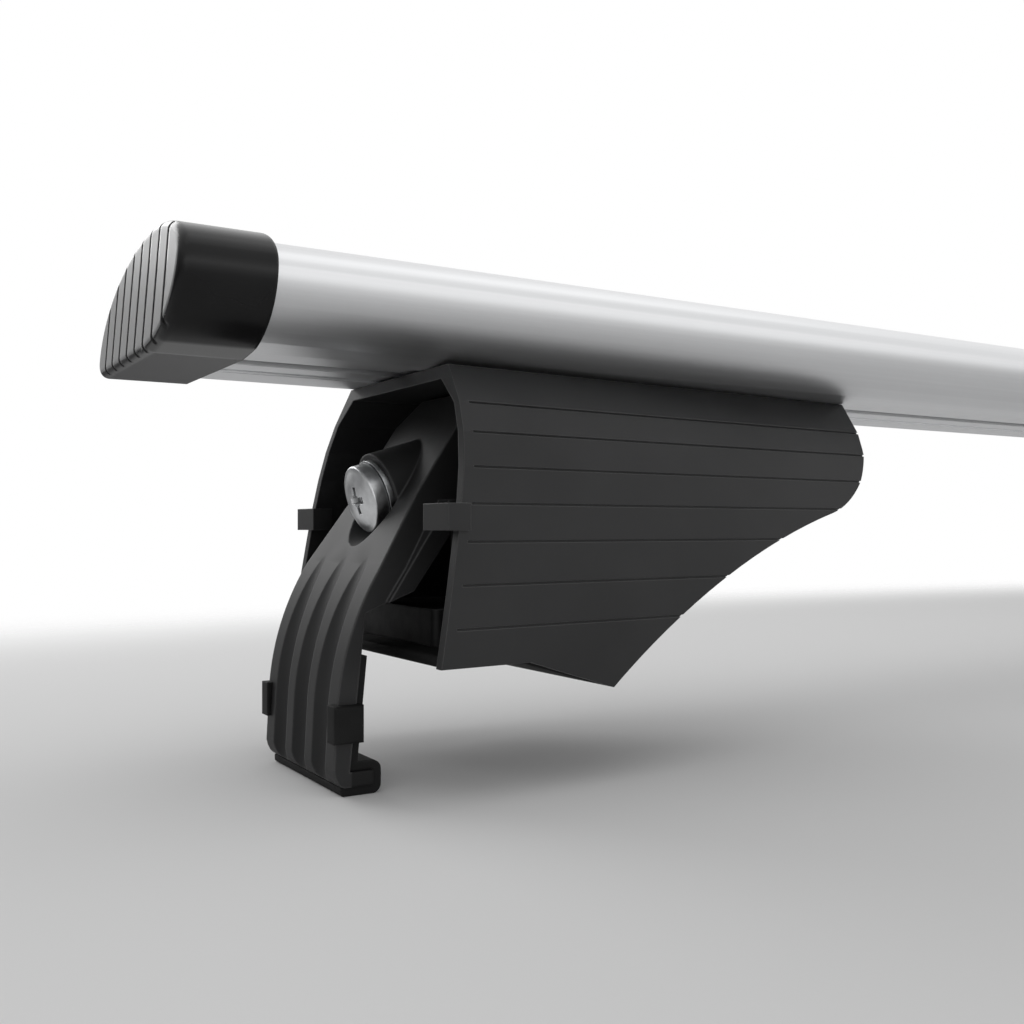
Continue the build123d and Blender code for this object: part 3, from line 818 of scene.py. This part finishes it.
def dissolve_flat(mesh):
    """Join triangles that lie in one plane."""
    bmesh.ops.dissolve_limit(mesh, angle_limit=FLAT_ANGLE, verts=mesh.verts, edges=mesh.edges)


def new_piece(name, mesh, material, node, body, crease=CREASE_ANGLE):
    """Put a finished mesh in the scene in place of a solid, with edges sharp above a crease."""
    data = bpy.data.meshes.new(name)
    mesh.to_mesh(data)
    mesh.free()
    for stored in ("custom_normal", "sharp_edge", "sharp_face"):
        if stored in data.attributes:
            data.attributes.remove(data.attributes[stored])
    data.materials.append(material)
    data.shade_smooth()
    data.set_sharp_from_angle(angle=crease)
    piece = bpy.data.objects.new(name, data)
    bpy.context.scene.collection.objects.link(piece)
    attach(piece, body)
    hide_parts(node)


def edges_at(mesh, axis, place):
    """The edges that lie in a plane across an axis."""
    return [
        edge
        for edge in mesh.edges
        if all(abs(vert.co[axis] - place) < EDGE_NEAR for vert in edge.verts)
    ]


def across_strap(edges):
    """Those of some edges that run along the hook, from one side of the strap to the other."""
    return [
        edge
        for edge in edges
        if abs(edge.verts[0].co.y - edge.verts[1].co.y) > edge.calc_length() * ACROSS_SHARE
    ]


def round_edges(mesh, edges, radius, steps):
    """Round some edges of a mesh."""
    if not edges:
        raise RuntimeError("there are no edges to round where they were expected")
    bmesh.ops.bevel(
        mesh,
        geom=edges,
        offset=radius,
        offset_type="OFFSET",
        affect="EDGES",
        segments=steps,
        profile=0.5,
        material=-1,
        clamp_overlap=True,
    )


def round_toe(mesh, node, size):
    """Round the lower front edge of a claw's strap, so that its ribs run out there."""
    low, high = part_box(node)
    outward = -1 if high[0] < 0 else 1
    front = low[0] if outward < 0 else high[0]
    inner, top = front - outward * size.toe_depth, low[2] + size.toe_height
    turns = [pi / 2 * step / size.round_steps for step in range(size.round_steps + 1)]
    curve = [
        (inner + outward * size.toe_depth * cos(turn), top - size.toe_height * sin(turn))
        for turn in turns
    ]
    for (x, z), (next_x, next_z) in zip(curve, curve[1:]):
        away = Vector((outward * (z - next_z), 0.0, outward * (next_x - x))).normalized()
        trim(mesh, Vector((x, 0.0, z)), away)
    split_large_faces(mesh)
    bmesh.ops.recalc_face_normals(mesh, faces=mesh.faces)


class RACK_OT_claws(RackOperator):
    """Model the claws with rounded toes, in glass-filled plastic"""

    bl_idname = "rack.claws"
    bl_label = "Claws"

    def execute(self, context):
        looks = context.scene.rack_finishes
        plastic = moulded_plastic(
            "claw_plastic",
            edge_radius=looks.edge_radius * 2.2,
            colour=looks.claw_colour,
            roughness=looks.claw_roughness,
            grain_size=millimetres(0.5),
            grain_depth=millimetres(0.05),
            painted_highlight_share=0.5,
            specular=0.25,
            foot_colour=looks.rubber_colour,
        )
        for side in SIDES:
            node = f"{side}_claw"
            name = f"{side}_ribbed_claw"
            mesh = merged_copy(node)
            round_toe(mesh, node, context.scene.rack_rounding)
            new_piece(name, mesh, plastic, node, f"{side}_claw", CLAW_CREASE_ANGLE)
        return {"FINISHED"}


class RACK_OT_pads(RackOperator):
    """Model the seat pads with rounded edges"""

    bl_idname = "rack.pads"
    bl_label = "Seat pads"

    def execute(self, context):
        size = context.scene.rack_rounding
        rubber = plain_rubber("pad_rubber", context.scene.rack_finishes)
        for side in SIDES:
            node = f"{side}_seat_pad"
            mesh = merged_copy(node)
            dissolve_flat(mesh)
            round_edges(mesh, list(mesh.edges), size.pad_round, size.round_steps)
            new_piece(f"{side}_rounded_pad", mesh, rubber, node, f"{side}_foot")
        return {"FINISHED"}


class RACK_OT_liners(RackOperator):
    """Model the hooks' rubber liners with a rounded tip, lip and tabs"""

    bl_idname = "rack.liners"
    bl_label = "Hook liners"

    def execute(self, context):
        size = context.scene.rack_rounding
        steps = size.round_steps
        rubber = plain_rubber("liner_rubber", context.scene.rack_finishes)
        for side in SIDES:
            node = f"{side}_claw_liner"
            low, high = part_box(node)
            tip = high[0] if side == "left" else low[0]
            mesh = merged_copy(node)
            dissolve_flat(mesh)
            for face in (low[1], high[1]):
                round_edges(mesh, edges_at(mesh, 1, face), size.tab_round, steps)
            round_edges(mesh, across_strap(edges_at(mesh, 0, tip)), size.tip_round, steps)
            bottom = across_strap(edges_at(mesh, 2, low[2]))
            lip = max(bottom, key=lambda edge: abs(edge.verts[0].co.x - tip))
            round_edges(mesh, [lip], size.lip_round, steps)
            new_piece(f"{side}_hook_liner", mesh, rubber, node, f"{side}_claw")
        return {"FINISHED"}


class RACK_OT_clamp_screws(RackOperator):
    """Model the clamp screws with a rolled thread and a cross recess in a domed head"""

    bl_idname = "rack.clamp_screws"
    bl_label = "Clamp screws"

    def execute(self, context):
        size = context.scene.rack_screw
        plate = zinc_plate("zinc_screw", context.scene.rack_finishes, turned=True)
        for side in SIDES:
            node = f"{side}_clamp_bolt"
            screw = cut(screw_head(size), recess_cutters(size))
            thread = screw_thread(size)
            for mesh in (screw, thread):
                mesh.verts.layers.float.new("turned_radius")
                layer = mesh.verts.layers.float["turned_radius"]
                for vert in mesh.verts:
                    vert[layer] = from_axis(vert)
            joined = bpy.data.meshes.new("joined")
            thread.to_mesh(joined)
            thread.free()
            screw.from_mesh(joined)
            bpy.data.meshes.remove(joined)
            bmesh.ops.transform(screw, matrix=screw_frame(side), verts=screw.verts)
            new_piece(f"{side}_clamp_screw", screw, plate, node, f"{side}_bolt")
        return {"FINISHED"}


def aim(thing, place, target):
    """Stand a camera or lamp at a place and point it at another."""
    thing.location = place
    thing.rotation_euler = (Vector(target) - Vector(place)).to_track_quat("-Z", "Y").to_euler()


def soft_panel(name, place, target, width, height, power):
    """A rectangular soft light that the camera doesn't see."""
    lamp = bpy.data.lights.new(name, "AREA")
    lamp.shape = "RECTANGLE"
    lamp.size, lamp.size_y = width, height
    lamp.energy = power
    panel = bpy.data.objects.new(name, lamp)
    panel.visible_camera = False
    bpy.context.scene.collection.objects.link(panel)
    aim(panel, place, target)


class RACK_OT_stage(RackOperator):
    """Set the camera, the pale floor, the studio round it and its lights"""

    bl_idname = "rack.stage"
    bl_label = "Stage"

    def execute(self, context):
        stage = context.scene.rack_stage
        self.camera(context, stage)
        self.floor(context, stage)
        self.studio(context, stage)
        self.lights(stage)
        context.scene.view_settings.view_transform = "Standard"
        return {"FINISHED"}

    def camera(self, context, stage):
        """Stand a level camera in front of the left foot."""
        lens = bpy.data.cameras.new("photo_camera")
        lens.sensor_width = SENSOR_WIDTH
        lens.lens = stage.focal_pixels * lens.sensor_width / IMAGE_SIZE
        lens.shift_y = stage.horizon_pixels / IMAGE_SIZE
        lens.clip_start = CLIP_START
        camera = bpy.data.objects.new("photo_camera", lens)
        context.scene.collection.objects.link(camera)
        sight = Vector((cos(stage.camera_heading), sin(stage.camera_heading), 0.0))
        aim(camera, stage.camera_place, Vector(stage.camera_place) + sight)
        context.scene.camera = camera

    def floor(self, context, stage):
        """Lay a pale floor that fades out round the rack and can't be seen from below."""
        mesh = bmesh.new()
        bmesh.ops.create_grid(mesh, x_segments=1, y_segments=1, size=FLOOR_REACH)
        data = bpy.data.meshes.new("floor")
        mesh.to_mesh(data)
        mesh.free()
        floor = bpy.data.objects.new("floor", data)
        context.scene.collection.objects.link(floor)
        finish = new_finish("pale_floor")
        around = finish.place((ALONG_SHARE, 1.0, 1.0))
        settings = {"operation": "LENGTH"}
        far = finish.node("ShaderNodeVectorMath", settings, {0: around}, output="Value")
        cloth = finish.noise(finish.place(), scale=6.0, detail=3.0)
        colour = finish.tint(cloth, darker(stage.floor_colour, 0.985), stage.floor_colour)
        paint = finish.node("ShaderNodeBsdfDiffuse", inputs={"Color": colour})
        clear = finish.node("ShaderNodeBsdfTransparent")
        below = finish.node("ShaderNodeNewGeometry", output="Backfacing")
        gone = (far.above(*FLOOR_FADE) + below).above(0.0, 1.0)
        mixed = finish.node("ShaderNodeMixShader", inputs={0: gone, 1: paint, 2: clear})
        finish.node("ShaderNodeOutputMaterial", inputs={"Surface": mixed})
        data.materials.append(finish.owner)

    def studio(self, context, stage):
        """Surround it with white above and in front, dim below, and a dark flag on the left."""
        world = bpy.data.worlds.new("studio")
        context.scene.world = world
        finish = Finish(world)
        direction = finish.node("ShaderNodeTexCoord", output="Generated")
        right, back, up = (finish.split(direction, axis) for axis in range(3))
        front = (0.0 - back).above(0.1, 0.6) * up.above(-0.5, -0.2)
        flag = (0.0 - right).above(0.2, 0.6) * (1.0 - up.above(0.15, 0.45)) * 0.65
        bright = (up.above(-0.08, 0.12) + front) * (1.0 - flag)
        room = finish.tint(bright, stage.room_colour, WHITE)
        rays = ("Is Camera Ray", "Is Glossy Ray", "Is Transmission Ray")
        seen, glossy, through = (finish.node("ShaderNodeLightPath", output=ray) for ray in rays)
        colour = finish.tint(seen, room, WHITE)
        direct = (seen + glossy + through).above(0.0, 1.0)
        strength = MATT_SHARE + direct * (1.0 - MATT_SHARE)
        sky = finish.node("ShaderNodeBackground", inputs={"Color": colour, "Strength": strength})
        finish.node("ShaderNodeOutputWorld", inputs={"Surface": sky})

    def lights(self, stage):
        """Hang three soft panels, with places and sizes in metres."""
        soft_panel(
            "key_panel",
            place=(-0.9, 1.1, 0.75),
            target=(-0.52, 0.0, 0.09),
            width=0.9,
            height=0.6,
            power=stage.key_power,
        )
        soft_panel(
            "top_panel",
            place=(-0.2, -0.15, 1.3),
            target=(-0.3, 0.0, 0.1),
            width=2.2,
            height=0.8,
            power=stage.top_power,
        )
        soft_panel(
            "front_strip",
            place=(-0.2, -1.2, 0.12),
            target=(-0.2, 0.0, 0.12),
            width=3.0,
            height=0.22,
            power=stage.strip_power,
        )


class RACK_PT_looks(bpy.types.Panel):
    """Lists the rack's looks in the 3D view's sidebar"""

    bl_idname = "RACK_PT_looks"
    bl_label = "Roof Rack"
    bl_space_type = "VIEW_3D"
    bl_region_type = "UI"
    bl_category = "Roof Rack"

    def draw(self, context):
        for operator in OPERATORS:
            self.layout.operator(operator.bl_idname)
        for group in (getattr(context.scene, name) for name in GROUPS):
            box = self.layout.box()
            for name in group.__annotations__:
                box.prop(group, name)


OPERATORS = (
    RACK_OT_stage,
    RACK_OT_crossbar,
    RACK_OT_end_caps,
    RACK_OT_foot_shells,
    RACK_OT_castings,
    RACK_OT_claws,
    RACK_OT_pads,
    RACK_OT_liners,
    RACK_OT_hardware,
    RACK_OT_clamp_screws,
)
GROUPS = {
    "rack_finishes": RackFinishes,
    "rack_screw": RackScrew,
    "rack_rounding": RackRounding,
    "rack_stage": RackStage,
}


def register():
    """Add the classes and the scene's settings to Blender."""
    for made in (*GROUPS.values(), *OPERATORS, RACK_PT_looks):
        bpy.utils.register_class(made)
    for name, group in GROUPS.items():
        setattr(bpy.types.Scene, name, PointerProperty(type=group))


def unregister():
    """Take the classes and the scene's settings out of Blender again."""
    for name in GROUPS:
        delattr(bpy.types.Scene, name)
    for made in (RACK_PT_looks, *reversed(OPERATORS), *reversed(list(GROUPS.values()))):
        bpy.utils.unregister_class(made)


def main():
    """Build the whole scene."""
    register()
    for operator in OPERATORS:
        group, name = operator.bl_idname.split(".")
        getattr(getattr(bpy.ops, group), name)()


if __name__ == "__main__":
    main()
